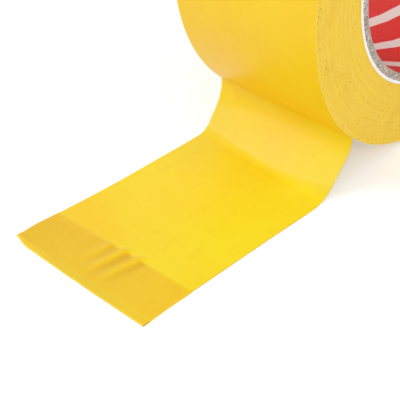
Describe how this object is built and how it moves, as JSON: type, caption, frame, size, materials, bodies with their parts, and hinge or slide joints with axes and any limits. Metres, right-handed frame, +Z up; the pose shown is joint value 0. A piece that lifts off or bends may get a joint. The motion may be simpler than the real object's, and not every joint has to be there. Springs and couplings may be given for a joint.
{
  "type": "electrical insulating tape roll",
  "caption": "Roll of yellow insulating tape on a paperboard core, with a loose tail lying flat and its end folded into a pull tab with three small puckers.",
  "frame": {"origin": "centre of the core's bore, halfway across the tape's width", "axes": "+X along the roll's axis, +Z up, and the tail lies towards -Y on the surface that the roll stands on"},
  "size_m": [0.0514, 0.1856, 0.1208],
  "materials": {
    "liner_paper": "printed paper, slightly glossy",
    "grey_board": "raw grey paperboard, speckled",
    "white_paper": "white paper",
    "tape_film": "soft PVC film, satin gloss"
  },
  "bodies": {
    "roll": {"core_liner": "liner_paper", "core_board_ply_1": "grey_board", "core_board_ply_2": "grey_board", "core_board_ply_3": "grey_board", "core_board_ply_4": "grey_board", "core_cover_ply": "white_paper", "wound_tape": "tape_film"},
    "tail": {"tail_riser": "tape_film", "tail_strip": "tape_film"},
    "end_tab": {"tab_strip": "tape_film", "tab_flap": "tape_film"}
  },
  "joints": [
    {"name": "tail_lift", "type": "hinge", "parent": "roll", "child": "tail", "pos_m": [0, -0.04025, -0.04517], "axis": [-1, 0, 0], "range_deg": [0, 75]},
    {"name": "tab_lift", "type": "hinge", "parent": "tail", "child": "end_tab", "pos_m": [0, -0.10702, -0.06015], "axis": [-1, 0, 0], "range_deg": [0, 60]}
  ]
}
